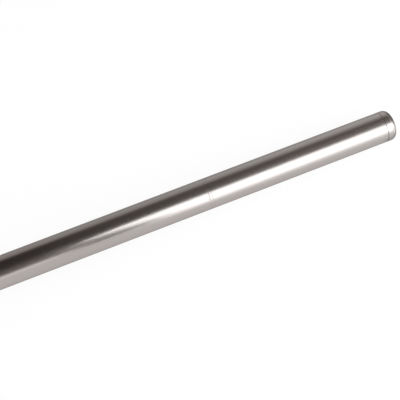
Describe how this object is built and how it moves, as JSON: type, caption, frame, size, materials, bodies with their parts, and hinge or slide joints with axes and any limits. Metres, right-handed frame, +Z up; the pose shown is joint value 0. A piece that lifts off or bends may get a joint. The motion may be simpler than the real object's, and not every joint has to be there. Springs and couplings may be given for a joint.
{
  "type": "round metal rod",
  "caption": "Straight polished round bar with a low domed nose behind a fine ring groove, a pair of scribed rings on the shank and a square cut far end.",
  "frame": {"origin": "under the middle of the bar's length, on the floor that it lies on", "axes": "+X along the bar towards the domed nose, +Z up"},
  "size_m": [0.5, 0.025, 0.025],
  "materials": {
    "polished_steel": "fine ground and polished"
  },
  "bodies": {
    "root": {"rod": "polished_steel"}
  },
  "joints": []
}
